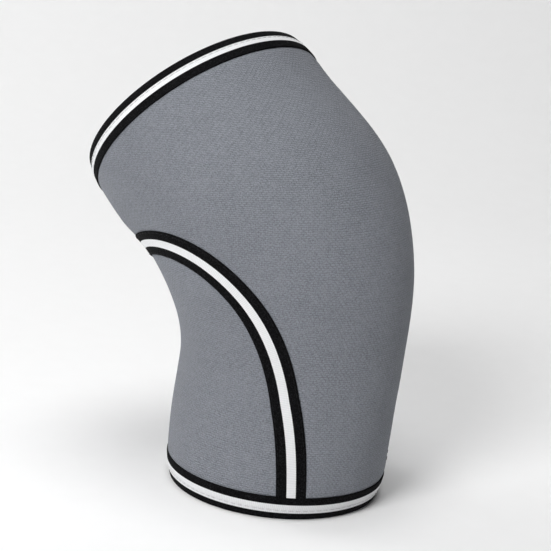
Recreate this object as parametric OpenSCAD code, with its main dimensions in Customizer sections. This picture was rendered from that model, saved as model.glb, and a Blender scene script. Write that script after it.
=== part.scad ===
// Pull-on neoprene knee sleeve, drawn on a half-bent knee. Millimetres, +X to the knee's front, +Z up the shin.
// The origin is the centre of the shin opening. A place on the sleeve is [s, g]: s runs up the centre line
// from the shin opening, and g is the angle round the sleeve from the middle of the back, in degrees.

/* [Centre line] */
// Straight length at the shin end
shin_run = 68.5; // [55:0.5:80]
// Radius of the bend through the knee
bend_radius = 150; // [140:1:180]
// Angle between the two openings, in degrees
knee_bend = 47.5; // [40:0.5:55]
// Straight length at the thigh end
thigh_run = 40; // [32:0.5:50]

/* [Outer shape, at even steps from the shin opening to the thigh opening] */
// Distances from the centre line to the front
front_reach = [64, 69.5, 74, 83, 83.5, 73, 70.5]; // [55:0.5:90]
// Distances from the centre line to the back
back_reach = [64, 65.5, 61.5, 59, 60, 68.5, 71.5]; // [55:0.5:90]
// Distances from the centre line to each side
side_reach = [60, 56, 74, 73.5]; // [50:0.5:80]
// How far the stretched webbing draws each opening in
hem_draw = 3; // [0:0.1:4]

/* [Laminate] */
// Thickness of the knit face
face_t = 0.6; // [0.4:0.1:1]
// Thickness of the foam core
core_t = 5.8; // [2:0.1:6]
// Thickness of the knit lining
lining_t = 0.6; // [0.4:0.1:1]

/* [Calf panel seam] */
// Where the seam crosses the middle of the back, measured along the centre line
seam_rise = 169; // [164:1:176]
// Angle from the middle of the back to each foot of the seam, in degrees
seam_foot = 138; // [125:1:145]
// Share by which the arch's shoulders stand above a plain ellipse
seam_fill = 0.43; // [0:0.01:0.45]
// Share by which the arch leans in above its feet
seam_lean = 0.22; // [0:0.01:0.3]

/* [Webbing and thread] */
// Width of the webbing over the seam
seam_web_w = 16; // [12:1:18]
// Height of the webbing folded over each opening
hem_web_w = 14; // [10:0.5:15]
// Thickness of the webbing
web_t = 0.8; // [0.6:0.1:1.2]
// Distance from one stitch to the next
stitch_pitch = 4; // [3.5:0.5:6]
// Thickness of the sewing thread
thread_d = 0.5; // [0.4:0.1:0.8]

/* [Hidden] */

bend_len = bend_radius * knee_bend * PI / 180;
sleeve_len = shin_run + bend_len + thigh_run;
laminate_t = face_t + core_t + lining_t;

// Clearance between the laminate, the webbing on it and the thread on that. It is wider on the lining side,
// where flat facets cut across a hollow curve.
glue_gap = 0.2;
lining_gap = 0.9;

// Insets of the webbing's outer face, of the thread on it, and of the thread and the webbing inside
web_out = glue_gap + web_t;
row_out = web_out + glue_gap;
row_in = laminate_t + lining_gap;
web_in = row_in + web_t;
hem_round = 1;

// Length over which an opening draws in
draw_run = 20;

// The knee and thigh parts of the front panel meet on a ring that tilts down towards the front.
split_mid = sleeve_len * 0.783;
split_tilt = sleeve_len * 0.081;
split_gap = 0.5;

// Mesh steps: along the seam, down its steep flanks, across the front, up the panel and up the thigh
seam_steps = 48;
flank_steps = 11;
front_steps = 10;
panel_rows = 10;
thigh_rows = 3;
calf_rows = flank_steps;
front_fan = 140;

// Stitch rows: distance from the webbing's edge, and half the width of a zigzag
stitch_edge = 1.2;
hem_stitch_s = 5.8;
zigzag_half_w = 2.5;
stitch_share = 0.65;

function mix(a, b, t) = a + (b - a) * t;
function unit(v) = v / norm(v);

// Smooth curve through evenly spaced values, read at t from 0 to 1
function level(values, t) =
    let (
        last = len(values) - 1,
        x = min(max(t, 0), 1) * last,
        i = min(floor(x), last - 1),
        u = x - i,
        p0 = i > 0 ? values[i - 1] : 2 * values[0] - values[1],
        p1 = values[i],
        p2 = values[i + 1],
        p3 = i < last - 1 ? values[i + 2] : 2 * values[last] - values[last - 1]
    )
    p1 + u * (p2 - p0) / 2 + u * u * (p0 - 2.5 * p1 + 2 * p2 - p3 / 2)
        + u * u * u * (3 * p1 - p0 - 3 * p2 + p3) / 2;

// How much closer the surface is to the centre line near an opening
function drawn(s) =
    let (from_end = max(min(s, sleeve_len - s), 0))
    hem_draw * pow(max(1 - from_end / draw_run, 0), 2);

// Centre line: how far it has leaned back, and its [x, z]
function lean(s) = min(max(s - shin_run, 0), bend_len) / bend_radius * 180 / PI;
function centre(s) =
    let (a = lean(s), shin = min(s, shin_run), thigh = max(s - shin_run - bend_len, 0))
    [-bend_radius * (1 - cos(a)) - thigh * sin(a), shin + bend_radius * sin(a) + thigh * cos(a)];

// Point of the sleeve at place [s, g], a distance inset below its outer surface
function surf(place, inset = 0) =
    let (
        s = place[0],
        g = place[1],
        t = s / sleeve_len,
        front = level(front_reach, t) - drawn(s),
        back = level(back_reach, t) - drawn(s),
        side = level(side_reach, t) - drawn(s),
        forward = (front - back) / 2 - ((front + back) / 2 - inset) * cos(g),
        a = lean(s),
        c = centre(s)
    )
    [c[0] + forward * cos(a), -(side - inset) * sin(g), c[1] + forward * sin(a)];

// Steps of the surface for 1 mm up and for 1 degree round, and its outward normal
function step_up(p) = (surf(p + [1, 0]) - surf(p - [1, 0])) / 2;
function step_round(p) = (surf(p + [0, 1]) - surf(p - [0, 1])) / 2;
function outward(p) = unit(cross(step_round(p), step_up(p)));

// Seam round the calf panel: an arch from one foot at q = 0, over the back at q = 90, to the other at q = 180
function seam(q) = [
    web_t + (seam_rise - web_t) * sin(q) * (1 + seam_fill * pow(cos(q), 2)),
    seam_foot * cos(q) * (1 - seam_lean * sin(q))
];

// Place a true distance from the seam, positive away from the calf panel
function beside_seam(q, offset) =
    let (
        p = seam(q),
        along = surf(seam(q + 1)) - surf(seam(q - 1)),
        across = unit(cross(along, outward(p))),
        up = step_up(p),
        turn = step_round(p)
    )
    [
        max(p[0] + offset * (across * up) / (up * up), hem_web_w),
        p[1] + offset * (across * turn) / (turn * turn)
    ];

// Table of [distance walked along the seam, q]
seam_walk = [
    for (q = 0, d = 0; q <= 180; d = d + norm(surf(seam(q + 1)) - surf(seam(q))), q = q + 1) [d, q]
];
seam_len = seam_walk[180][0];
function seam_q(d) = lookup(d, seam_walk);
hem_q = lookup(hem_web_w, [for (q = [0:30]) [seam(q)[0], q]]);

// Ring where the knee part of the front panel ends
function split_s(g) = split_mid + split_tilt * cos(g);

// Columns of the front panel: their lower ends follow the seam and then the shin opening
seam_places = [for (i = [0:seam_steps]) seam(180 * i / seam_steps)];
front_places = [
    for (i = [1:front_steps - 1]) [web_t, -seam_foot - (360 - 2 * seam_foot) * i / front_steps]
];
lower_places = concat(seam_places, front_places);
upper_angles = concat(
    [for (i = [0:seam_steps]) front_fan * (1 - 2 * i / seam_steps)],
    [for (i = [1:front_steps - 1]) -front_fan - (360 - 2 * front_fan) * i / front_steps]
);

knee_grid = [
    for (row = [0:panel_rows]) [
        for (j = [0:len(lower_places) - 1])
            mix(lower_places[j], [split_s(upper_angles[j]), upper_angles[j]], row / panel_rows)
    ]
];

thigh_grid = [
    for (row = [0:thigh_rows]) [
        for (g = upper_angles) [mix(split_s(g) + split_gap, sleeve_len - web_t, row / thigh_rows), g]
    ]
];

// Calf panel: a patch between the shin opening and the two flanks and the crown of the seam
crown_steps = seam_steps - 2 * flank_steps;
function calf_place(i, row) =
    let (
        u = i / crown_steps,
        v = row / calf_rows,
        near = seam_places[row],
        far = seam_places[seam_steps - row],
        low = mix(seam_places[0], seam_places[seam_steps], u),
        top = seam_places[flank_steps + i],
        crown = mix(seam_places[flank_steps], seam_places[seam_steps - flank_steps], u)
    )
    mix(near, far, u) + mix(low, top, v) - mix(low, crown, v);
calf_grid = [for (row = [0:calf_rows]) [for (i = [0:crown_steps]) calf_place(i, row)]];

// The two triangles of a quad, split along its shorter diagonal
function quad(points, a, b, c, d) =
    norm(points[a] - points[c]) < norm(points[b] - points[d])
        ? [[a, b, c], [a, c, d]]
        : [[a, b, d], [b, c, d]];

// Closed solid over a grid of places, between two insets. A ring grid closes on itself.
module sheet(grid, outer, inner, ring) {
    rows = len(grid);
    cols = len(grid[0]);
    layer = rows * cols;
    last = rows - 1;
    cells = ring ? cols : cols - 1;
    function at(side, row, col) = side * layer + row * cols + col % cols;
    points = [for (inset = [outer, inner]) for (row = grid) for (place = row) surf(place, inset)];
    outer_skin = [
        for (row = [0:last - 1]) for (j = [0:cells - 1]) each
            quad(points, at(0, row, j), at(0, row, j + 1), at(0, row + 1, j + 1), at(0, row + 1, j))
    ];
    inner_skin = [
        for (row = [0:last - 1]) for (j = [0:cells - 1]) each
            quad(points, at(1, row, j), at(1, row + 1, j), at(1, row + 1, j + 1), at(1, row, j + 1))
    ];
    ends = [
        for (j = [0:cells - 1]) each concat(
            quad(points, at(0, 0, j + 1), at(0, 0, j), at(1, 0, j), at(1, 0, j + 1)),
            quad(points, at(0, last, j), at(0, last, j + 1), at(1, last, j + 1), at(1, last, j))
        )
    ];
    flanks = ring ? [] : [
        for (row = [0:last - 1]) each concat(
            quad(points, at(0, row, 0), at(0, row + 1, 0), at(1, row + 1, 0), at(1, row, 0)),
            quad(points, at(0, row + 1, cells), at(0, row, cells), at(1, row, cells), at(1, row + 1, cells))
        )
    ];
    polyhedron(points, concat(outer_skin, inner_skin, ends, flanks));
}

module face_layer(grid, ring) sheet(grid, 0, face_t, ring);
module core_layer(grid, ring) sheet(grid, face_t, face_t + core_t, ring);
module lining_layer(grid, ring) sheet(grid, face_t + core_t, laminate_t, ring);

// Webbing folded over a cut edge: a U-shaped section of [distance from the opening, inset], carried round
hem_section = [
    [hem_web_w, -web_out],
    [hem_round, -web_out],
    [0, hem_round - web_out],
    [0, web_in - hem_round],
    [hem_round, web_in],
    [hem_web_w, web_in],
    [hem_web_w, row_in],
    [web_t, row_in],
    [web_t, -glue_gap],
    [hem_web_w, -glue_gap]
];
module hem(at_thigh) {
    cols = len(upper_angles);
    turns = len(hem_section);
    function s_of(d) = at_thigh ? sleeve_len - d : d;
    function at(k, j) = (k % turns) * cols + j % cols;
    points = [for (p = hem_section) for (g = upper_angles) surf([s_of(p[0]), g], p[1])];
    faces = [
        for (k = [0:turns - 1]) for (j = [0:cols - 1]) each (
            at_thigh
                ? quad(points, at(k, j), at(k, j + 1), at(k + 1, j + 1), at(k + 1, j))
                : quad(points, at(k, j), at(k + 1, j), at(k + 1, j + 1), at(k, j + 1))
        )
    ];
    polyhedron(points, faces);
}

// Straight run of thread from one point to another, lying on the surface that faces out
module thread(from, to, out) {
    x = unit(to - from);
    y = unit(cross(out, x));
    z = cross(x, y);
    multmatrix([
        [x[0], y[0], z[0], from[0]],
        [x[1], y[1], z[1], from[1]],
        [x[2], y[2], z[2], from[2]]
    ])
        translate([0, -thread_d / 2, 0])
            cube([norm(to - from), thread_d, thread_d]);
}

// Row of stitches at one distance from the seam, on top of the seam webbing
module seam_row(offset) {
    start = seam_walk[ceil(hem_q) + 1][0];
    count = floor((seam_len - 2 * start) / stitch_pitch);
    for (i = [0:count - 1]) {
        d = start + i * stitch_pitch;
        from = beside_seam(seam_q(d), offset);
        to = beside_seam(seam_q(d + stitch_pitch * stitch_share), offset);
        thread(surf(from, -row_out), surf(to, -row_out), outward(from));
    }
}

// Row of stitches round one opening, on the webbing
module hem_row(s) {
    reach = level(side_reach, s / sleeve_len);
    count = floor(2 * PI * reach / stitch_pitch);
    turn = 360 / count;
    for (i = [0:count - 1]) {
        from = [s, i * turn];
        to = [s, (i + stitch_share) * turn];
        thread(surf(from, -row_out), surf(to, -row_out), outward(from));
    }
}

// Zigzag that joins two edges, along the seam on the lining side
module seam_zigzag() {
    start = seam_walk[ceil(hem_q) + 1][0];
    count = floor((seam_len - 2 * start) / stitch_pitch);
    for (i = [0:count - 1]) {
        side = i % 2 == 0 ? 1 : -1;
        d = start + i * stitch_pitch;
        from = beside_seam(seam_q(d), side * zigzag_half_w);
        to = beside_seam(seam_q(d + stitch_pitch * stitch_share), -side * zigzag_half_w);
        thread(surf(from, row_in), surf(to, row_in), -outward(from));
    }
}

// Zigzag up the middle of the back, from the seam to the thigh hem
module back_zigzag(inset, way) {
    start = split_s(0) + split_gap + thread_d;
    end = sleeve_len - hem_web_w;
    count = floor((end - start) / stitch_pitch);
    turn = zigzag_half_w / (PI * back_reach[len(back_reach) - 1]) * 180;
    for (i = [0:count - 1]) {
        side = i % 2 == 0 ? 1 : -1;
        from = [start + i * stitch_pitch, side * turn];
        to = [start + (i + stitch_share) * stitch_pitch, -side * turn];
        thread(surf(from, inset), surf(to, inset), way * outward(from));
    }
}

module knee_panel_face() color("slategray") face_layer(knee_grid, true);
module knee_panel_core() color("dimgray") core_layer(knee_grid, true);
module knee_panel_lining() color("darkslategray") lining_layer(knee_grid, true);
module calf_panel_face() color("slategray") face_layer(calf_grid, false);
module calf_panel_core() color("dimgray") core_layer(calf_grid, false);
module calf_panel_lining() color("darkslategray") lining_layer(calf_grid, false);
module thigh_panel_face() color("slategray") face_layer(thigh_grid, true);
module thigh_panel_core() color("dimgray") core_layer(thigh_grid, true);
module thigh_panel_lining() color("darkslategray") lining_layer(thigh_grid, true);

module seam_webbing() color("black") {
    half_w = seam_web_w / 2;
    web_grid = [
        for (offset = [-half_w, -half_w / 3, half_w / 3, half_w]) [
            for (i = [0:seam_steps]) beside_seam(mix(hem_q, 180 - hem_q, i / seam_steps), offset)
        ]
    ];
    sheet(web_grid, -web_out, -glue_gap, false);
}
module seam_webbing_inner_stitching() color("black") seam_row(stitch_edge - seam_web_w / 2);
module seam_webbing_outer_stitching() color("black") seam_row(seam_web_w / 2 - stitch_edge);
module calf_seam_zigzag() color("gray") seam_zigzag();

module shin_hem_webbing() color("black") hem(false);
module shin_hem_stitching() color("white") hem_row(hem_stitch_s);
module thigh_hem_webbing() color("black") hem(true);
module thigh_hem_stitching() color("white") hem_row(sleeve_len - hem_stitch_s);

module back_seam_zigzag_outside() color("gray") back_zigzag(-glue_gap, 1);
module back_seam_zigzag_inside() color("gray") back_zigzag(row_in, -1);

knee_panel_face();
knee_panel_core();
knee_panel_lining();
calf_panel_face();
calf_panel_core();
calf_panel_lining();
thigh_panel_face();
thigh_panel_core();
thigh_panel_lining();
seam_webbing();
seam_webbing_inner_stitching();
seam_webbing_outer_stitching();
calf_seam_zigzag();
shin_hem_webbing();
shin_hem_stitching();
thigh_hem_webbing();
thigh_hem_stitching();
back_seam_zigzag_outside();
back_seam_zigzag_inside();
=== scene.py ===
"""Looks of the padded knee sleeve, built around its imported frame.

A place on the sleeve is (s, g): s runs up the centre line from the shin opening, and g is the angle round
the sleeve from the middle of the back. Sizes are in millimetres, and only the bend, the stage, the lights
and the camera are in metres. Meshes are made in metres.
"""
import math

import bpy
import numpy as np
from mathutils import Matrix, Vector

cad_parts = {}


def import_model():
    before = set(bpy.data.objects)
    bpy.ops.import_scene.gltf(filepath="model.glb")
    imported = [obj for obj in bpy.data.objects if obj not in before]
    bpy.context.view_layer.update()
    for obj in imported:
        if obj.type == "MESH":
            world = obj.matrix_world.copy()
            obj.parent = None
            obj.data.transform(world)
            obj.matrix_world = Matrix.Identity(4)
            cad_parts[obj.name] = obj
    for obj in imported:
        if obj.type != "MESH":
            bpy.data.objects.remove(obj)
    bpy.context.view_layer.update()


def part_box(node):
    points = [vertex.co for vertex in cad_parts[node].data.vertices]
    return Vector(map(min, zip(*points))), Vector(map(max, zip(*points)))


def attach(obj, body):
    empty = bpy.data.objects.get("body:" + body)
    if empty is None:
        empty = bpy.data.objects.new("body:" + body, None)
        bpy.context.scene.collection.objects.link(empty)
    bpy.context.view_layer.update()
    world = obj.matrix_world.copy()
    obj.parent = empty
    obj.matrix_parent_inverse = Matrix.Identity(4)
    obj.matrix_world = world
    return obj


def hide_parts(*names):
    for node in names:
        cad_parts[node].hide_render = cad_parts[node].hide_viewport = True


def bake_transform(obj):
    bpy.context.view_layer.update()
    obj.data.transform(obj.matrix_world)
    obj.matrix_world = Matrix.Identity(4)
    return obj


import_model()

MM = 0.001

# ---------------------------------------------------------------- driving sizes, as in the frame

SHIN_RUN = 68.5
BEND_RADIUS = 150.0
KNEE_BEND = 47.5
THIGH_RUN = 40.0
FRONT_REACH = (64, 69.5, 74, 83, 83.5, 73, 70.5)
BACK_REACH = (64, 65.5, 61.5, 59, 60, 68.5, 71.5)
SIDE_REACH = (60, 56, 74, 73.5)
HEM_DRAW = 3.0
DRAW_RUN = 20.0
FACE_T = 0.6
CORE_T = 5.8
LINING_T = 0.6
SEAM_RISE = 169.0
SEAM_FOOT = 138.0
SEAM_FILL = 0.43
SEAM_LEAN = 0.22
SEAM_WEB_W = 16.0
WEB_T = 0.8
STITCH_PITCH = 4.0

HEM_H = (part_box("shin_hem_webbing")[1].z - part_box("shin_hem_webbing")[0].z) / MM
LAMINATE_T = FACE_T + CORE_T + LINING_T
BEND_LEN = BEND_RADIUS * math.radians(KNEE_BEND)
SLEEVE_LEN = SHIN_RUN + BEND_LEN + THIGH_RUN

# ---------------------------------------------------------------- the sleeve's surface


def level(values, t):
    """Smooth curve through evenly spaced values, read at t from 0 to 1."""
    v = np.array(values, float)
    padded = np.concatenate([[2 * v[0] - v[1]], v, [2 * v[-1] - v[-2]]])
    x = np.clip(t, 0, 1) * (len(v) - 1)
    i = np.minimum(x.astype(int), len(v) - 2)
    u = x - i
    p0, p1, p2, p3 = padded[i], padded[i + 1], padded[i + 2], padded[i + 3]
    return (
        p1
        + u * (p2 - p0) / 2
        + u**2 * (p0 - 2.5 * p1 + 2 * p2 - p3 / 2)
        + u**3 * (3 * p1 - p0 - 3 * p2 + p3) / 2
    )


def surf(s, g, height=0.0):
    """Points of the sleeve at places (s, g), a height above its nominal outer face, in millimetres."""
    s, g, height = np.broadcast_arrays(
        np.asarray(s, float), np.asarray(g, float), np.asarray(height, float)
    )
    t = s / SLEEVE_LEN
    drawn = HEM_DRAW * np.clip(1 - np.minimum(s, SLEEVE_LEN - s) / DRAW_RUN, 0, 1) ** 2
    front, back, side = (level(reach, t) - drawn for reach in (FRONT_REACH, BACK_REACH, SIDE_REACH))
    lean = np.clip(s - SHIN_RUN, 0, BEND_LEN) / BEND_RADIUS
    thigh = np.clip(s - SHIN_RUN - BEND_LEN, 0, None)
    shin = np.minimum(s, SHIN_RUN)
    x = -BEND_RADIUS * (1 - np.cos(lean)) - thigh * np.sin(lean)
    z = shin + BEND_RADIUS * np.sin(lean) + thigh * np.cos(lean)
    angle = np.radians(g)
    forward = (front - back) / 2 - ((front + back) / 2 + height) * np.cos(angle)
    across = -(side + height) * np.sin(angle)
    return np.stack([x + forward * np.cos(lean), across, z + forward * np.sin(lean)], -1)


def step_up(s, g):
    """Move of a point for each millimetre up the centre line."""
    return (surf(s + 1, g) - surf(s - 1, g)) / 2


def step_round(s, g):
    """Move of a point for each degree round."""
    return (surf(s, g + 1) - surf(s, g - 1)) / 2


def unit(v):
    return v / np.linalg.norm(v, axis=-1, keepdims=True)


def dot(a, b):
    return (a * b).sum(-1)


def outward(s, g):
    """Direction straight out of the face."""
    return unit(np.cross(step_round(s, g), step_up(s, g)))


def walk_along(points):
    """Distance walked from the first row of points to each row, along a line or along every column."""
    steps = np.linalg.norm(np.diff(points, axis=0), axis=-1)
    return np.concatenate([np.zeros_like(steps[:1]), np.cumsum(steps, axis=0)])


def girth(s):
    """Length once round the outer face."""
    return walk_along(surf(s, np.linspace(0, 360, 721)))[-1]


def seam(q):
    """Place on the calf seam: an arch from one foot at q = 0, over the back at 90, to the other at 180."""
    up, across = np.sin(np.radians(q)), np.cos(np.radians(q))
    s = WEB_T + (SEAM_RISE - WEB_T) * up * (1 + SEAM_FILL * across**2)
    return s, SEAM_FOOT * across * (1 - SEAM_LEAN * up)


def seam_sideways(q):
    """Change of s and of g for each millimetre sideways from the seam, away from the calf panel."""
    s, g = seam(q)
    along = surf(*seam(q + 1)) - surf(*seam(q - 1))
    across = unit(np.cross(along, outward(s, g)))
    up, turn = step_up(s, g), step_round(s, g)
    return dot(across, up) / dot(up, up), dot(across, turn) / dot(turn, turn)


def beside_seam(q, offset):
    """Place a true distance from the seam, positive away from the calf panel, never under the shin hem."""
    s, g = seam(q)
    climb, turn = seam_sideways(q)
    return np.maximum(s + offset * climb, HEM_H), g + offset * turn


SEAM_Q = np.linspace(0, 180, 721)
SEAM_LINE = surf(*seam(SEAM_Q))
SEAM_WALK = walk_along(SEAM_LINE)
SEAM_LEN = SEAM_WALK[-1]
FIRST_FLANK = slice(1, 80)


def end_walk(offset=0.0):
    """Where along the seam a line beside it comes out from under the shin hem."""
    q = SEAM_Q[FIRST_FLANK]
    return float(np.interp(HEM_H, seam(q)[0] + offset * seam_sideways(q)[0], SEAM_WALK[FIRST_FLANK]))


HEM_WALK = end_walk()


def seam_q(walked):
    """Place q on the seam at a distance walked along it."""
    return np.interp(walked, SEAM_WALK, SEAM_Q)


# Lengths along the outer face from the shin opening, for weaves that keep one scale everywhere
LENGTH_S = np.linspace(0, SLEEVE_LEN, 241)
LENGTH_G = np.linspace(-360, 360, 145)
LENGTH_TABLE = walk_along(surf(LENGTH_S[:, None], LENGTH_G[None, :]))


def face_uv(s, g):
    """Metres round and up the outer face at places (s, g)."""
    i = np.clip(s / SLEEVE_LEN * (len(LENGTH_S) - 1), 0, len(LENGTH_S) - 1.001)
    j = np.clip((g + 360) / 720 * (len(LENGTH_G) - 1), 0, len(LENGTH_G) - 1.001)
    a, b = i.astype(int), j.astype(int)
    u, v = i - a, j - b
    table = LENGTH_TABLE
    length = (
        table[a, b] * (1 - u) * (1 - v)
        + table[a + 1, b] * u * (1 - v)
        + table[a, b + 1] * (1 - u) * v
        + table[a + 1, b + 1] * u * v
    )
    t = s / SLEEVE_LEN
    radius = (level(FRONT_REACH, t) + level(BACK_REACH, t) + 2 * level(SIDE_REACH, t)) / 4
    return np.stack([-np.radians(g) * radius, length], -1) * MM


# ---------------------------------------------------------------- relief of the laminate

WEB_TOP = 0.7
WEB_SINK = WEB_T - WEB_TOP + 0.1
EDGE_ROLL = 1.6
PUFF = 0.30
PUFF_REACH = 14.0
LINING_PINCH = 0.35
LINING_PINCH_REACH = 4.0
POINTS_AT_ONCE = 4000


def smooth(x):
    x = np.clip(x, 0, 1)
    return x * x * (3 - 2 * x)


def puff(distance):
    """Height of the face beside webbing: pressed down under it, then swelling and fading out."""
    rise = smooth((distance + EDGE_ROLL / 2) / EDGE_ROLL)
    fade = 1 - smooth((distance - EDGE_ROLL) / PUFF_REACH)
    return -WEB_SINK * (1 - rise) + PUFF * rise * fade


def seam_distance(s, g):
    """True distance to the calf seam."""
    points = surf(s, g).reshape(-1, 3)
    nearest = np.full(len(points), np.inf)
    for start in range(0, len(points), POINTS_AT_ONCE):
        part = slice(start, start + POINTS_AT_ONCE)
        gap = np.linalg.norm(points[part, None] - SEAM_LINE[None, ::2], axis=2)
        nearest[part] = gap.min(1)
    return nearest.reshape(s.shape)


def face_relief(s, g):
    """Height of the outer face: sunk under the webbing and the hems, and puffed beside them."""
    beside_web = seam_distance(s, g) - SEAM_WEB_W / 2
    beside_hem = np.minimum(s, SLEEVE_LEN - s) - HEM_H
    return np.minimum(puff(beside_web), puff(beside_hem))


def lining_relief(s, g):
    """How far the lining is drawn outwards: pinched along the calf seam and pressed under the hems."""
    pinched = LINING_PINCH * (1 - smooth(seam_distance(s, g) / LINING_PINCH_REACH))
    beside_hem = np.minimum(s, SLEEVE_LEN - s) - HEM_H
    pressed = WEB_SINK * (1 - smooth((beside_hem + EDGE_ROLL / 2) / EDGE_ROLL))
    return np.maximum(pinched, pressed)


# ---------------------------------------------------------------- mesh building


def new_object(name, points, faces, loop_uv=None):
    """Smooth mesh object from points in millimetres, with its weave coordinates in the layer named cloth."""
    mesh = bpy.data.meshes.new(name)
    mesh.from_pydata((points * MM).tolist(), [], faces)
    if loop_uv is not None:
        layer = mesh.uv_layers.new(name="cloth")
        layer.data.foreach_set("uv", np.asarray(loop_uv, np.float32).ravel())
    mesh.polygons.foreach_set("use_smooth", [True] * len(mesh.polygons))
    mesh.validate()
    obj = bpy.data.objects.new(name, mesh)
    bpy.context.collection.objects.link(obj)
    return obj


def grid_faces(rows, cols, first=0, flip=False):
    """Quads over a grid of rows by cols points."""
    a = first + np.arange(rows - 1)[:, None] * cols + np.arange(cols - 1)[None, :]
    quads = np.stack([a, a + 1, a + cols + 1, a + cols], -1).reshape(-1, 4)
    return quads[:, ::-1] if flip else quads


def shell(name, outer, inner, uv):
    """Closed solid between two grids of points, walled along all four edges."""
    rows, cols = outer.shape[:2]
    layer = rows * cols
    index = np.arange(layer).reshape(rows, cols)
    rim = np.concatenate([index[0, :-1], index[:-1, -1], index[-1, :0:-1], index[:0:-1, 0]])
    after = np.roll(rim, -1)
    walls = np.stack([after, rim, rim + layer, after + layer], -1)
    faces = np.concatenate([grid_faces(rows, cols), grid_faces(rows, cols, layer, True), walls])
    points = np.concatenate([outer.reshape(-1, 3), inner.reshape(-1, 3)])
    flat = np.concatenate([uv.reshape(-1, 2)] * 2)
    return new_object(name, points, faces.tolist(), flat[faces.ravel()])


def ring(name, section_points, uv):
    """Closed solid whose section is carried round, from points by [along the section][round].

    The uv grid has one more of each, so that a weave doesn't run back over the last step.
    """
    turns, cols = section_points.shape[:2]
    k, j = np.meshgrid(np.arange(turns), np.arange(cols), indexing="ij")
    k2, j2 = (k + 1) % turns, (j + 1) % cols
    faces = np.stack([k * cols + j, k * cols + j2, k2 * cols + j2, k2 * cols + j], -1).reshape(-1, 4)
    corners = np.stack([uv[k, j], uv[k, j + 1], uv[k + 1, j + 1], uv[k + 1, j]], 2)
    return new_object(name, section_points.reshape(-1, 3), faces.tolist(), corners.reshape(-1, 2))


# ---------------------------------------------------------------- materials


class Nodes:
    """Short hand for building one material's node tree."""

    def __init__(self, name):
        self.material = bpy.data.materials.new(name)
        self.material.use_nodes = True
        self.tree = self.material.node_tree
        self.shader = self.tree.nodes["Principled BSDF"]

    def add(self, kind, inputs=(), **settings):
        node = self.tree.nodes.new("ShaderNode" + kind)
        for key, value in settings.items():
            setattr(node, key, value)
        for key, value in dict(inputs).items():
            self.put(node.inputs[key], value)
        return node

    def put(self, socket, value):
        if isinstance(value, bpy.types.NodeSocket):
            self.tree.links.new(value, socket)
        else:
            socket.default_value = value

    def math(self, operation, a, b=None, c=None, clamp=False):
        values = {i: v for i, v in enumerate((a, b, c)) if v is not None}
        return self.add("Math", values, operation=operation, use_clamp=clamp).outputs[0]

    def mix(self, factor, a, b):
        node = self.add("Mix", data_type="RGBA")
        for index, value in ((0, factor), (6, a), (7, b)):
            self.put(node.inputs[index], value)
        return node.outputs[2]

    def ramp(self, value, low, high):
        """0 below low and 1 above high, smooth between."""
        node = self.add(
            "MapRange",
            {"Value": value, "From Min": low, "From Max": high},
            interpolation_type="SMOOTHSTEP",
        )
        return node.outputs["Result"]

    def cloth(self):
        """Weave coordinates of the cloth, in millimetres."""
        split = self.add("SeparateXYZ", {0: self.add("UVMap", uv_map="cloth").outputs[0]})
        return [self.math("MULTIPLY", split.outputs[axis], 1 / MM) for axis in (0, 1)]

    def noise(self, vector, scale, detail=2.0, roughness=0.5):
        return self.add(
            "TexNoise",
            {"Vector": vector, "Scale": scale, "Detail": detail, "Roughness": roughness},
        ).outputs["Fac"]

    def finish(self, color, roughness, height, bump_mm, strength=1.0):
        self.put(self.shader.inputs["Base Color"], color)
        self.put(self.shader.inputs["Roughness"], roughness)
        bump = self.add(
            "Bump", {"Height": height, "Distance": bump_mm * MM, "Strength": strength}
        )
        self.put(self.shader.inputs["Normal"], bump.outputs[0])
        return self.material

    def fixed(self, **values):
        for key, value in values.items():
            self.shader.inputs[key.replace("_", " ")].default_value = value


def rgb(r, g, b):
    return (r, g, b, 1.0)


KNIT_WANDER = 1.6
LOOP_GAP_SHARE = 0.8
SPECKLE_SHARE = 0.62
MOTTLE_SHARE = 0.18
DRIFT_SHARE = 0.08
PLAIN_SHADE = 0.32
# Painted shade darkens the gaps between loops and rows, deeper in some places than in others at random.
GAP_PAINTED_SHADE = -0.36
GAP_SHADE_SPREAD = -0.16


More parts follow.
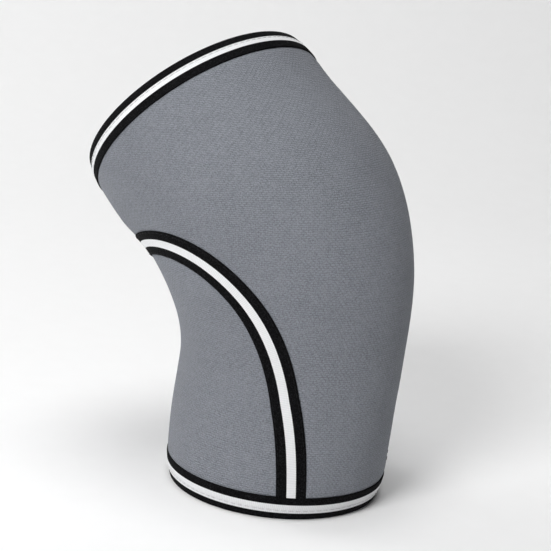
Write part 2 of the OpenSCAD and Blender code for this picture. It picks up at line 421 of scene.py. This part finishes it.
def knit(name, light, dark, course_mm, wale_mm, sheen):
    """Fine warp knit: staggered loops in close rows, with painted shade in the gaps between them, a mottled
    yarn and slow drifts of tone.
    """
    n = Nodes(name)
    around, along = n.cloth()
    metres = n.add("TexCoord").outputs["Object"]
    wander = n.math("SUBTRACT", n.noise(metres, scale=260.0), 0.5)
    row = n.math("DIVIDE", n.math("MULTIPLY_ADD", wander, KNIT_WANDER, along), course_mm)
    odd = n.math("MODULO", n.math("FLOOR", row), 2.0)
    column = n.math("ADD", n.math("DIVIDE", around, wale_mm), n.math("MULTIPLY", odd, 0.5))
    across_row = n.math("ABSOLUTE", n.math("SUBTRACT", n.math("FRACT", row), 0.5))
    across_loop = n.math("ABSOLUTE", n.math("SUBTRACT", n.math("FRACT", column), 0.5))
    # Masks of the gaps between rows and between loops: they darken the colour as painted shade and sink the
    # bump.
    row_gap = n.ramp(across_row, 0.22, 0.5)
    loop_gap = n.ramp(across_loop, 0.30, 0.5)
    gap = n.math("MAXIMUM", row_gap, n.math("MULTIPLY", loop_gap, LOOP_GAP_SHARE))
    speckle = n.noise(metres, scale=1500.0, detail=3.0, roughness=0.7)
    mottle = n.noise(metres, scale=420.0, detail=3.0, roughness=0.6)
    drift = n.noise(metres, scale=16.0)
    shade_depth_noise = n.noise(metres, scale=60.0)
    shade = n.math("MULTIPLY", n.ramp(speckle, 0.34, 0.66), SPECKLE_SHARE)
    shade = n.math("MULTIPLY_ADD", n.ramp(mottle, 0.3, 0.7), MOTTLE_SHARE, shade)
    shade = n.math("MULTIPLY_ADD", n.ramp(drift, 0.35, 0.65), DRIFT_SHARE, shade)
    # Depth of the painted shade in the gaps, varied at random across the cloth.
    gap_shade_depth = n.math("MULTIPLY_ADD", n.ramp(shade_depth_noise, 0.3, 0.7), GAP_SHADE_SPREAD, GAP_PAINTED_SHADE)
    shade = n.math("MULTIPLY_ADD", gap, gap_shade_depth, n.math("ADD", shade, PLAIN_SHADE), clamp=True)
    color = n.mix(shade, rgb(*dark), rgb(*light))
    height = n.math("MULTIPLY_ADD", speckle, 0.5, n.math("SUBTRACT", 1.0, gap))
    n.fixed(Sheen_Weight=sheen, Sheen_Roughness=0.45, Specular_IOR_Level=0.22)
    rough = n.math("MULTIPLY_ADD", mottle, 0.16, 0.72)
    return n.finish(color, rough, height, bump_mm=0.28)


RIB_PITCH = 1.0
YARN_PITCH = 0.42
STRIPE_TOOTH = 0.30
STRIPE_SPREAD = 0.10
STRIPE_BLUR = 0.12
YARN_SHARE = 0.9
FUZZ_SHARE = 0.6
# Darkening of the white stripe in the valleys between ribs: painted shade.
VALLEY_PAINTED_SHADE = -0.8
RIB_BUMP = 0.35


def webbing(name, stripe_from, stripe_to):
    """Ribbed webbing: black, with one white stripe between two distances across its width, its white
    darkened between the ribs as painted shade.
    """
    n = Nodes(name)
    across, along = n.cloth()
    rib = n.math("DIVIDE", along, RIB_PITCH)
    tooth = n.math("MULTIPLY", n.math("PINGPONG", rib, 0.5), STRIPE_TOOTH)
    past_low = n.math("SUBTRACT", across, n.math("ADD", tooth, stripe_from - STRIPE_SPREAD))
    past_high = n.math("SUBTRACT", n.math("SUBTRACT", stripe_to + STRIPE_SPREAD, tooth), across)
    low, high = (n.ramp(past, 0.0, STRIPE_BLUR) for past in (past_low, past_high))
    white = n.math("MULTIPLY", low, high)
    yarn = n.math("PINGPONG", n.math("DIVIDE", across, YARN_PITCH), 0.5)
    valley = n.ramp(n.math("PINGPONG", rib, 0.5), 0.34, 0.5)
    metres = n.add("TexCoord").outputs["Object"]
    fuzz = n.noise(metres, scale=1800.0, detail=3.0, roughness=0.7)
    weave = n.math("MULTIPLY_ADD", yarn, YARN_SHARE, n.math("MULTIPLY", fuzz, FUZZ_SHARE))
    black = n.mix(n.ramp(fuzz, 0.45, 0.70), rgb(0.0010, 0.0010, 0.0012), rgb(0.0200, 0.0200, 0.0225))
    # The white stripe's colour is darkened in the rib valleys as painted shade, on top of its yarn and fuzz.
    bright = n.math("MULTIPLY_ADD", valley, VALLEY_PAINTED_SHADE, weave, clamp=True)
    light = n.mix(bright, rgb(0.70, 0.71, 0.73), rgb(0.97, 0.97, 0.97))
    color = n.mix(white, black, light)
    wave = n.math("SINE", n.math("MULTIPLY", rib, 2 * math.pi))
    height = n.math("MULTIPLY_ADD", wave, RIB_BUMP, weave)
    n.fixed(Specular_IOR_Level=0.05)
    return n.finish(color, 0.75, height, bump_mm=0.10, strength=0.8)


def foam(name):
    """Closed-cell foam rubber: near black with fine pores."""
    n = Nodes(name)
    metres = n.add("TexCoord").outputs["Object"]
    cells = n.add("TexVoronoi", {"Vector": metres, "Scale": 1400.0}).outputs["Distance"]
    color = n.mix(cells, rgb(0.02, 0.02, 0.022), rgb(0.05, 0.05, 0.054))
    return n.finish(color, 0.85, cells, bump_mm=0.12)


def thread(name, light, dark, shine):
    """Twisted sewing thread."""
    n = Nodes(name)
    metres = n.add("TexCoord").outputs["Object"]
    fuzz = n.noise(metres, scale=2600.0, detail=3.0, roughness=0.7)
    color = n.mix(n.ramp(fuzz, 0.3, 0.7), rgb(*dark), rgb(*light))
    n.fixed(Specular_IOR_Level=shine)
    return n.finish(color, 0.6, fuzz, bump_mm=0.06)


SEAM_STRIPE_HALF_W = 2.45
SEAM_STRIPE = (SEAM_WEB_W / 2 - SEAM_STRIPE_HALF_W, SEAM_WEB_W / 2 + SEAM_STRIPE_HALF_W)
SHIN_STRIPE = (4.5, 9.8)
THIGH_STRIPE = (5.2, 9.1)
STITCH_EDGE = 1.2
HEM_STITCH = 5.8
GREY_KNIT = knit("grey_knit", (0.285, 0.301, 0.336), (0.136, 0.145, 0.165), 1.25, 2.6, 0.06)
LINING_KNIT = knit("lining_knit", (0.060, 0.062, 0.068), (0.022, 0.023, 0.026), 1.1, 1.6, 0.15)
SEAM_WEB = webbing("seam_web", *SEAM_STRIPE)
SHIN_WEB = webbing("shin_hem_web", *SHIN_STRIPE)
THIGH_WEB = webbing("thigh_hem_web", *THIGH_STRIPE)
FOAM = foam("foam")
BLACK_THREAD = thread("black_thread", (0.010, 0.010, 0.011), (0.003, 0.003, 0.004), 0.1)
WHITE_THREAD = thread("white_thread", (0.80, 0.80, 0.80), (0.52, 0.52, 0.53), 0.4)
GREY_THREAD = thread("grey_thread", (0.42, 0.43, 0.45), (0.24, 0.25, 0.27), 0.4)

# ---------------------------------------------------------------- places of the panels

SEAM_STEPS = 240
FLANK_STEPS = 66
FRONT_STEPS = 44
FRONT_ROWS = 96
FRONT_FAN = 140.0
CLOSING_PINCH = 0.7
CLOSING_REACH = 3.0
CLOTH_PRESSURE = 4.0
CLOTH_STIFFNESS = 80.0
CLOTH_BENDING = 8.0
CLOTH_FRAMES = 20
CLOTH_CAP = 0.7


def mix(a, b, t):
    return a + (b - a) * t


def front_places():
    """Grid of the front panel, from the middle of the back round the front to the middle of the back."""
    q_far = np.linspace(90, 180, SEAM_STEPS // 2 + 1)
    q_near = np.linspace(0, 90, SEAM_STEPS // 2 + 1)
    far_s, far_g = seam(q_far)
    near_s, near_g = seam(q_near)
    middle = np.linspace(-SEAM_FOOT, SEAM_FOOT - 360, FRONT_STEPS + 1)[1:-1]
    low_s = np.concatenate([far_s, np.full(len(middle), WEB_T), near_s])
    low_g = np.concatenate([far_g, middle, near_g - 360])
    high_far = FRONT_FAN * (1 - q_far / 90)
    high_near = FRONT_FAN * (1 - q_near / 90) - 360
    high_middle = np.linspace(-FRONT_FAN, FRONT_FAN - 360, FRONT_STEPS + 1)[1:-1]
    high_g = np.concatenate([high_far, high_middle, high_near])
    v = np.linspace(0, 1, FRONT_ROWS + 1)[:, None]
    s = mix(low_s[None, :], SLEEVE_LEN - WEB_T, v)
    g = mix(low_g[None, :], high_g[None, :], v)
    return s[:, ::-1], g[:, ::-1]


def calf_places():
    """Grid of the calf panel: a patch between the shin opening and the flanks and crown of the seam."""
    s_all, g_all = seam(np.linspace(0, 180, SEAM_STEPS + 1))
    edge = np.stack([s_all, g_all], -1)
    crown = SEAM_STEPS - 2 * FLANK_STEPS
    u = np.linspace(0, 1, crown + 1)[None, :, None]
    v = np.linspace(0, 1, FLANK_STEPS + 1)[:, None, None]
    near = edge[: FLANK_STEPS + 1][:, None]
    far = edge[SEAM_STEPS - FLANK_STEPS:][::-1][:, None]
    low = mix(edge[0], edge[-1], u)
    top = edge[FLANK_STEPS: SEAM_STEPS - FLANK_STEPS + 1][None, :]
    flat = mix(low, mix(edge[FLANK_STEPS], edge[SEAM_STEPS - FLANK_STEPS], u), v)
    grid = mix(near, far, u) + mix(low, top, v) - flat
    return grid[..., 0], grid[..., 1]


def closing_relief(g):
    """Pinch of the front panel along its closing seam, up the middle of the back."""
    away = np.minimum(np.abs(g), np.abs(g + 360)) * math.pi / 180 * BACK_REACH[-1]
    return -CLOSING_PINCH * (1 - smooth(away / CLOSING_REACH))


def doubled(values):
    """Grid with one value more between each two, by halves."""
    rows, cols = values.shape
    grid = np.empty((2 * rows - 1, 2 * cols - 1))
    grid[::2, ::2] = values
    grid[1::2, ::2] = (values[:-1] + values[1:]) / 2
    grid[:, 1::2] = (grid[:, :-1:2] + grid[:, 2::2]) / 2
    return grid


def swelling(s, g, relief):
    """Height that the face gains when cloth is pressed out between the webbing and seams that hold it."""
    s, g, relief = s[::2, ::2], g[::2, ::2], relief[::2, ::2]
    start = surf(s, g, relief)
    sheet = new_object("settling_sheet", start.reshape(-1, 3), grid_faces(*s.shape).tolist())
    held = relief < -WEB_SINK / 2
    held[0], held[-1], held[:, 0], held[:, -1] = True, True, True, True
    sheet.vertex_groups.new(name="held").add(np.flatnonzero(held.ravel()).tolist(), 1.0, "REPLACE")
    cloth = sheet.modifiers.new("settle", "CLOTH")
    cloth.settings.vertex_group_mass = "held"
    cloth.settings.use_pressure = True
    cloth.settings.uniform_pressure_force = CLOTH_PRESSURE
    cloth.settings.tension_stiffness = CLOTH_STIFFNESS
    cloth.settings.compression_stiffness = CLOTH_STIFFNESS
    cloth.settings.bending_stiffness = CLOTH_BENDING
    cloth.settings.effector_weights.gravity = 0
    for number in range(1, CLOTH_FRAMES + 1):
        bpy.context.scene.frame_set(number)
    settled = sheet.evaluated_get(bpy.context.evaluated_depsgraph_get()).data
    place = np.empty(len(settled.vertices) * 3)
    settled.vertices.foreach_get("co", place)
    gained = dot(place.reshape(start.shape) / MM - start, outward(s, g))
    bpy.data.objects.remove(sheet)
    bpy.context.scene.frame_set(1)
    return doubled(CLOTH_CAP * np.tanh(gained / CLOTH_CAP))


def panel(name, places, closes):
    """Face, foam core and lining of one panel, each a closed shell, nested face to face."""
    s, g = places
    relief = face_relief(s, g)
    if closes:
        relief = relief + closing_relief(g)
    relief = relief + swelling(s, g, relief)
    inside = lining_relief(s, g)
    heights = (relief, relief - FACE_T, inside + LINING_T - LAMINATE_T, inside - LAMINATE_T)
    levels = [surf(s, g, height) for height in heights]
    uv = face_uv(s, g)
    pieces = []
    for k, (layer, material) in enumerate((("face", GREY_KNIT), ("core", FOAM), ("lining", LINING_KNIT))):
        piece = shell(f"{name}_{layer}", levels[k], levels[k + 1], uv)
        piece.data.materials.append(material)
        pieces.append(piece)
    return pieces


front = panel("front_panel", front_places(), True)
calf = panel("calf_panel", calf_places(), False)

# ---------------------------------------------------------------- webbing


RIB_STEPS = 4
RIB_DEPTH = 0.10
END_CUT = 12.0
SEAM_DOME = 0.10
SEAM_GROOVE = 0.12
SEAM_EDGE_DROP = 0.25
SEAM_EDGE_FROM = 0.95
GROOVE_WIDTH = 0.6
HEM_GROOVE = 0.25
HEM_GROOVE_RIBS = 2.5
HEM_SWELL = 0.18
HEM_SWELL_WIDTH = 2.0
HEM_EDGE_DROP = 0.2
HEM_EDGE_RUN = 0.8
FOLD_OUTSIDE_R = 0.8
FOLD_INSIDE_R = 0.2


def rib_height(walked):
    """Height of the ribs across the webbing."""
    return RIB_DEPTH / 2 * (np.cos(2 * math.pi * walked / RIB_PITCH) - 1)


def hump(distance, width):
    """1 where the distance is nothing, fading smoothly out over about two widths to each side."""
    return np.exp(-((distance / width) ** 2))


def seam_webbing():
    """Webbing over the calf seam, with both ends cut along the shin hem's edge."""
    walked = np.arange(HEM_WALK, SEAM_LEN - HEM_WALK, RIB_PITCH / RIB_STEPS)
    half = SEAM_WEB_W / 2
    across = half * np.sin(np.radians(np.linspace(-90, 90, 17)))
    near_end = smooth(1 - (walked - walked[0]) / END_CUT) - smooth(1 - (walked[-1] - walked) / END_CUT)
    slant = HEM_WALK - np.array([end_walk(offset) for offset in across])
    s, g = beside_seam(seam_q(walked[None, :] - slant[:, None] * near_end[None, :]), across[:, None])
    x = across[:, None] / half
    dome = WEB_TOP + SEAM_DOME * (1 - x**2)
    groove = -SEAM_GROOVE * hump(np.abs(across) - (half - STITCH_EDGE), GROOVE_WIDTH)[:, None]
    edge = -SEAM_EDGE_DROP * smooth((np.abs(x) - SEAM_EDGE_FROM) / (1 - SEAM_EDGE_FROM))
    top = dome + groove + edge + rib_height(walked)[None, :]
    bottom = np.full_like(dome, WEB_TOP - WEB_T)
    uv = np.stack(np.broadcast_arrays(across[:, None] + half, walked[None, :]), -1) * MM
    piece = shell("seam_webbing", surf(s, g, top), surf(s, g, bottom), uv)
    piece.data.materials.append(SEAM_WEB)
    return piece


def hem_path(top, bottom, end, corner):
    """Section of a fold as points (distance from the opening's edge, height), with two rounded corners."""
    turn = np.radians(np.linspace(0, 90, 7))
    flat = np.linspace(HEM_H, end + corner, 16)
    upper = np.stack([end + corner * (1 - np.sin(turn)), top - corner * (1 - np.cos(turn))], 1)
    lower = np.stack([end + corner * (1 - np.cos(turn)), bottom + corner * (1 - np.sin(turn))], 1)
    return np.concatenate(
        [
            np.stack([flat, np.full(len(flat), top)], 1)[:-1],
            upper,
            lower,
            np.stack([flat[::-1], np.full(len(flat), bottom)], 1)[1:],
        ]
    )


def hem_webbing(name, at_thigh, stripe, material):
    """Webbing folded over the laminate's cut edge, with ribs across it."""
    outer = hem_path(WEB_TOP, -LAMINATE_T - WEB_TOP, 0.0, FOLD_OUTSIDE_R)
    inner = hem_path(WEB_TOP - WEB_T, -LAMINATE_T - WEB_TOP + WEB_T, WEB_T, FOLD_INSIDE_R)
    walk = walk_along(outer)
    edge = HEM_EDGE_DROP * smooth(1 - np.minimum(walk, walk[-1] - walk) / HEM_EDGE_RUN)
    stitched = hump(walk - (HEM_H - HEM_STITCH), GROOVE_WIDTH)
    swell = HEM_SWELL * hump(walk - sum(stripe) / 2, HEM_SWELL_WIDTH)
    along = np.gradient(outer, axis=0)
    normal = unit(np.stack([along[:, 1], -along[:, 0]], 1))
    outer = outer + normal * (swell - HEM_GROOVE * stitched - edge)[:, None]
    count = int(girth(SLEEVE_LEN if at_thigh else 0.0) / RIB_PITCH) * RIB_STEPS
    turn = np.arange(count + 1) / RIB_STEPS * RIB_PITCH
    rib = rib_height(turn[:-1])
    section = np.concatenate([outer, inner[::-1]])
    push = np.concatenate([normal * (1 + HEM_GROOVE_RIBS * stitched)[:, None], np.zeros_like(normal)])
    distance = section[:, 0][:, None] + push[:, 0][:, None] * rib
    height = section[:, 1][:, None] + push[:, 1][:, None] * rib
    s = SLEEVE_LEN - distance if at_thigh else distance
    g = np.linspace(0, 360, count + 1)[:-1] * (-1 if at_thigh else 1)
    points = surf(s, g[None, :], height)
    across = np.concatenate([walk, walk[::-1], [0]])
    uv = np.stack(np.broadcast_arrays(across[:, None], turn[None, :]), -1) * MM
    piece = ring(name, points, uv)
    piece.data.materials.append(material)
    return piece


seam_web = seam_webbing()
shin_hem = hem_webbing("shin_hem_webbing", False, SHIN_STRIPE, SHIN_WEB)
thigh_hem = hem_webbing("thigh_hem_webbing", True, THIGH_STRIPE, THIGH_WEB)

# ---------------------------------------------------------------- thread

THREAD_R = 0.22
THREAD_SIDES = 6
THREAD_RINGS = 7
THREAD_SUNK = 0.7


def tube_faces():
    """Faces of one stitch: rings of quads, and a cap at each end."""
    first = np.arange(THREAD_SIDES)
    ahead = (first + 1) % THREAD_SIDES
    band = np.stack([first, ahead, ahead + THREAD_SIDES, first + THREAD_SIDES], 1)
    last = (THREAD_RINGS - 1) * THREAD_SIDES
    quads = [quad for low in range(0, last, THREAD_SIDES) for quad in band + low]
    return quads + [first[::-1], first + last]


def stitches(name, starts, ends, outs, arch, material):
    """Row of stitches: each a short thread that rises out of the cloth, runs along it and dips back in."""
    along = unit(ends - starts)
    side = unit(np.cross(outs, along))
    up = np.cross(along, side)
    t = np.linspace(0, 1, THREAD_RINGS)
    rise = (np.sin(math.pi * t) ** 0.6 * arch - THREAD_R * THREAD_SUNK)[None, :, None]
    line = starts[:, None] + (ends - starts)[:, None] * t[None, :, None] + up[:, None] * rise
    a = np.linspace(0, 2 * math.pi, THREAD_SIDES, endpoint=False)[:, None]
    circle = side[:, None, None] * np.cos(a) + up[:, None, None] * np.sin(a)
    points = (line[:, :, None] + THREAD_R * circle).reshape(-1, 3)
    per_stitch = THREAD_RINGS * THREAD_SIDES
    tube = tube_faces()
    faces = [(face + first).tolist() for first in range(0, len(points), per_stitch) for face in tube]
    row = new_object(name, points, faces)
    row.data.materials.append(material)
    return row


STITCH_SHARE = 0.7
SEAM_ARCH = 0.32
HEM_ARCH = 0.30
ZIGZAG_HALF_W = 2.5


def seam_row(name, offset, height, side=0.0, out=1.0, material=BLACK_THREAD):
    """Stitches along the seam webbing. A side above 0 makes them a zigzag of that half width."""
    count = int((SEAM_LEN - 2 * HEM_WALK - 2) / STITCH_PITCH)
    d = HEM_WALK + 1 + np.arange(count) * STITCH_PITCH
    way = np.where(np.arange(count) % 2 == 0, side, -side)
    length = STITCH_PITCH * (STITCH_SHARE if side == 0 else 1.0)
    a = beside_seam(seam_q(d), offset + way)
    b = beside_seam(seam_q(d + length), offset - way)
    return stitches(name, surf(*a, height), surf(*b, height), out * outward(*a), SEAM_ARCH, material)


def hem_row(name, at_thigh, distance, height, material):
    """Stitches round a hem."""
    s = SLEEVE_LEN - distance if at_thigh else distance
    count = int(girth(s) / STITCH_PITCH)
    g = np.arange(count) * 360 / count
    ends = surf(s, g + STITCH_SHARE * 360 / count, height)
    return stitches(name, surf(s, g, height), ends, outward(s, g), HEM_ARCH, material)


def closing_zigzag(name, height, out):
    """Zigzag up the middle of the back, from the seam webbing to the thigh hem."""
    start = float(beside_seam(np.array([90.0]), SEAM_WEB_W / 2)[0][0])
    end = SLEEVE_LEN - HEM_H
    count = int((end - start) / STITCH_PITCH)
    s = start + np.arange(count) * (end - start) / count
    turn = math.degrees(ZIGZAG_HALF_W / BACK_REACH[-1])
    way = np.where(np.arange(count) % 2 == 0, turn, -turn)
    ends = surf(s + (end - start) / count, -way, height)
    return stitches(name, surf(s, way, height), ends, out * outward(s, way), SEAM_ARCH, GREY_THREAD)


ROW_OFFSET = SEAM_WEB_W / 2 - STITCH_EDGE
ROW_HEIGHT = WEB_TOP - 0.1
ZIGZAG_HEIGHT = 0.3 - LAMINATE_T
inner_row = seam_row("seam_webbing_inner_stitching", -ROW_OFFSET, ROW_HEIGHT)
outer_row = seam_row("seam_webbing_outer_stitching", ROW_OFFSET, ROW_HEIGHT)
seam_zigzag = seam_row("calf_seam_zigzag", 0.0, ZIGZAG_HEIGHT, ZIGZAG_HALF_W, -1.0, GREY_THREAD)
shin_row = hem_row("shin_hem_stitching", False, HEM_STITCH, WEB_TOP, WHITE_THREAD)
thigh_row = hem_row("thigh_hem_stitching", True, HEM_STITCH, WEB_TOP, WHITE_THREAD)
closing_out = closing_zigzag("back_seam_zigzag_outside", -CLOSING_PINCH, 1.0)
closing_in = closing_zigzag("back_seam_zigzag_inside", -LAMINATE_T, -1.0)

# ---------------------------------------------------------------- bodies and the bend

half_bend = math.radians(KNEE_BEND / 2)
bend_way = Vector((-math.sin(half_bend), 0, math.cos(half_bend)))
ROUND = np.linspace(0, 360, 181)
zone_low = float((surf(HEM_H, ROUND) @ np.array(bend_way)).max()) * MM
zone_high = float((surf(SLEEVE_LEN - HEM_H, ROUND) @ np.array(bend_way)).min()) * MM


def crosses(piece, slot, *nodes):
    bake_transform(piece)
    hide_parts(*nodes)


def rides(piece, body, slot, *nodes):
    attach(piece, body)
    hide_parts(*nodes)


for piece, layer, slot in zip(front, ("face", "core", "lining"), ("grey_knit", "foam", "lining_knit")):
    crosses(piece, slot, f"knee_panel_{layer}", f"thigh_panel_{layer}")
for piece, layer, slot in zip(calf, ("face", "core", "lining"), ("grey_knit", "foam", "lining_knit")):
    crosses(piece, slot, f"calf_panel_{layer}")
crosses(seam_web, "striped_webbing", "seam_webbing")
crosses(inner_row, "thread", "seam_webbing_inner_stitching")
crosses(outer_row, "thread", "seam_webbing_outer_stitching")
crosses(seam_zigzag, "thread", "calf_seam_zigzag")
crosses(closing_out, "thread", "back_seam_zigzag_outside")
crosses(closing_in, "thread", "back_seam_zigzag_inside")
rides(shin_hem, "shin", "striped_webbing", "shin_hem_webbing")
rides(shin_row, "shin", "thread", "shin_hem_stitching")
rides(thigh_hem, "thigh", "striped_webbing", "thigh_hem_webbing")
rides(thigh_row, "thigh", "thread", "thigh_hem_stitching")

# ---------------------------------------------------------------- stage, light and camera


def stage():
    """Pale floor that sweeps up into a backdrop behind the sleeve."""
    width, depth, rise, radius = 1.3, 1.6, 2.4, 0.9
    profile = [(-depth, 0.0), (depth - radius, 0.0)]
    for a in np.linspace(0, math.pi / 2, 17)[1:]:
        profile.append((depth - radius + radius * math.sin(a), radius * (1 - math.cos(a))))
    profile.append((depth, rise))
    turn = math.radians(CAMERA_AZIMUTH)
    back = np.array([-math.sin(turn), math.cos(turn), 0])
    side = np.array([math.cos(turn), math.sin(turn), 0])
    points = [back * d + side * w + np.array([0, 0, h]) for d, h in profile for w in (-width, width)]
    grid = np.array(points).reshape(len(profile), 2, 3)
    faces = grid_faces(len(profile), 2, flip=True)
    floor = new_object("floor", grid.reshape(-1, 3) / MM, faces.tolist())
    n = Nodes("pale_floor")
    grain = n.noise(n.add("TexCoord").outputs["Object"], 60.0)
    n.put(n.shader.inputs["Base Color"], n.mix(grain, rgb(0.93, 0.93, 0.93), rgb(0.95, 0.95, 0.95)))
    n.fixed(Roughness=0.9)
    floor.data.materials.append(n.material)


LIGHT_TARGET = Vector((-0.02, 0, 0.13))
SKY_STRENGTH = 0.12
SENSOR_W = 36.0


def direction(azimuth, elevation):
    """From the sleeve outwards, with azimuth 0 at its near side and 90 at its front."""
    a, e = math.radians(azimuth), math.radians(elevation)
    return Vector((math.sin(a) * math.cos(e), -math.cos(a) * math.cos(e), math.sin(e)))


def area_light(name, azimuth, elevation, distance, size, power):
    away = direction(azimuth, elevation)
    data = bpy.data.lights.new(name, "AREA")
    data.shape = "DISK"
    data.size = size
    data.energy = power
    light = bpy.data.objects.new(name, data)
    light.location = LIGHT_TARGET + away * distance
    light.rotation_mode = "QUATERNION"
    light.rotation_quaternion = (-away).to_track_quat("-Z", "Y")
    bpy.context.collection.objects.link(light)


CAMERA_AZIMUTH = 40.02
CAMERA_ELEVATION = 14.98
CAMERA_ROLL = 4.39
CAMERA_DISTANCE = 1.0259
CAMERA_LENS = 118.16
CAMERA_TARGET = Vector((-0.0096, 0, 0.1205))


def camera():
    data = bpy.data.cameras.new("camera")
    data.lens = CAMERA_LENS
    data.sensor_width = SENSOR_W
    away = direction(CAMERA_AZIMUTH, CAMERA_ELEVATION)
    right = direction(CAMERA_AZIMUTH + 90, 0)
    up = away.cross(right)
    roll = math.radians(CAMERA_ROLL)
    tilted_right = right * math.cos(roll) + up * math.sin(roll)
    tilted_up = up * math.cos(roll) - right * math.sin(roll)
    turn = Matrix((tilted_right, tilted_up, away)).transposed()
    obj = bpy.data.objects.new("camera", data)
    obj.matrix_world = Matrix.Translation(CAMERA_TARGET + away * CAMERA_DISTANCE) @ turn.to_4x4()
    bpy.context.collection.objects.link(obj)
    bpy.context.scene.camera = obj


def world():
    sky = bpy.data.worlds.new("studio")
    sky.use_nodes = True
    sky.node_tree.nodes["Background"].inputs["Color"].default_value = rgb(1.0, 1.0, 1.0)
    sky.node_tree.nodes["Background"].inputs["Strength"].default_value = SKY_STRENGTH
    bpy.context.scene.world = sky
    bpy.context.scene.view_settings.view_transform = "Standard"


stage()
area_light("key", azimuth=10, elevation=36, distance=2.0, size=0.9, power=24)
area_light("left", azimuth=-75, elevation=25, distance=2.0, size=1.2, power=11)
area_light("top", azimuth=40, elevation=84, distance=2.4, size=1.6, power=26)
camera()
world()
